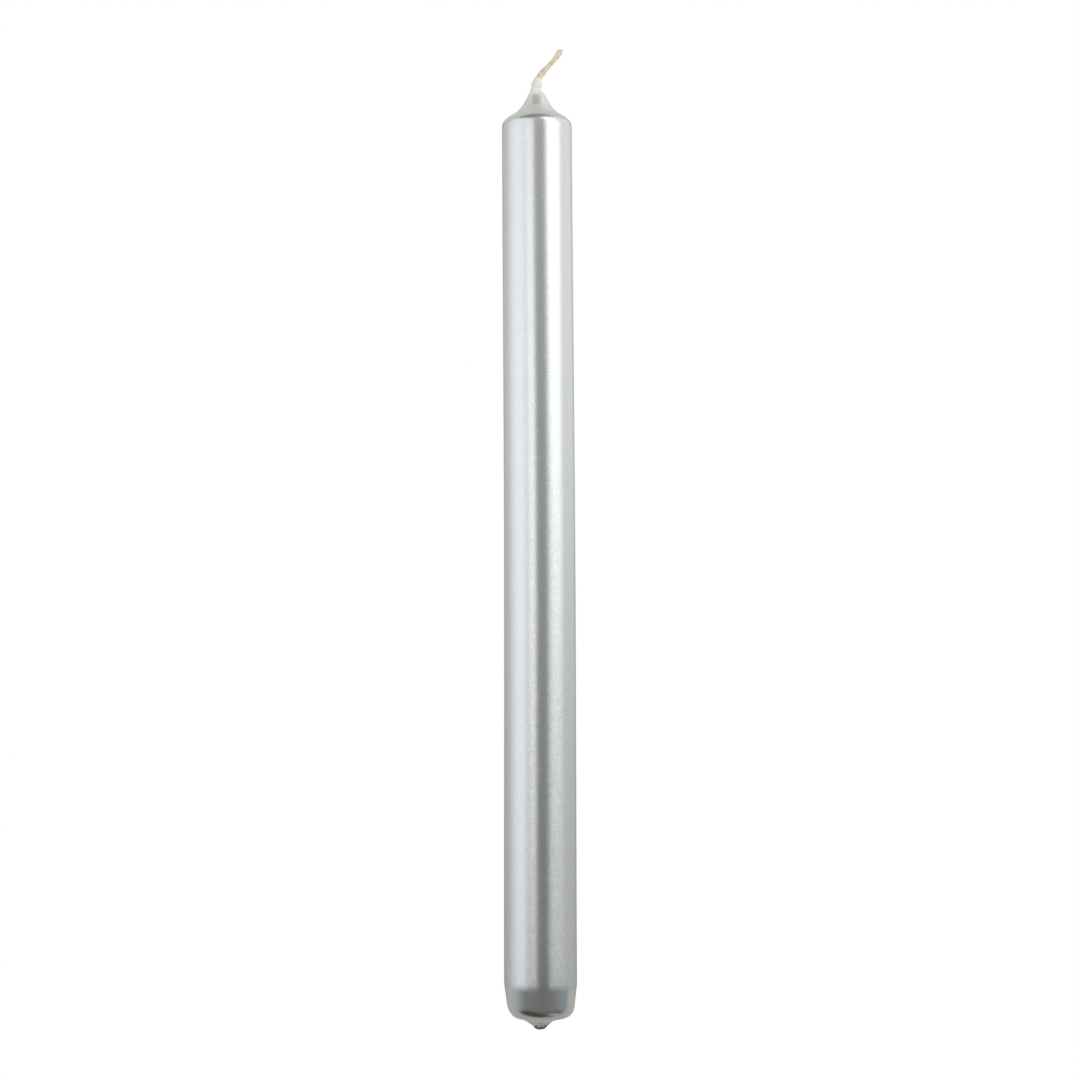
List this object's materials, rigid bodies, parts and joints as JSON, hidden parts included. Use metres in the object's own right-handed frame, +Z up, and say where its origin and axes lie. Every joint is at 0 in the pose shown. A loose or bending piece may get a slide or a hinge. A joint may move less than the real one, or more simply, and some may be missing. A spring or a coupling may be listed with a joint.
{
  "type": "dinner candle",
  "caption": "Slim straight dinner candle in silver lacquer, with a hollow-sided cone shoulder, a leaning plaited wick and a tapered round foot that ends in a hardened drip.",
  "frame": {"origin": "tip of the hardened drip under the foot, on the candle's axis", "axes": "+Z up along the candle's axis towards the wick, +X the way the wick leans, +Y away from the viewer"},
  "size_m": [0.022, 0.022, 0.2957],
  "materials": {
    "silver_lacquer": "satin",
    "dipping_wax": "satin",
    "core_wax": "satin",
    "bare_wax": "satin",
    "drip_wax": "satin",
    "priming_wax": "satin",
    "waxed_cotton": "matte"
  },
  "bodies": {
    "root": {"silver_coat": "silver_lacquer", "wax_jacket": "dipping_wax", "core_wax": "core_wax", "neck_collar": "bare_wax", "foot_drip": "drip_wax", "wick_priming": "priming_wax", "wick_strand_1": "waxed_cotton", "wick_strand_2": "waxed_cotton", "wick_strand_3": "waxed_cotton"}
  },
  "joints": []
}
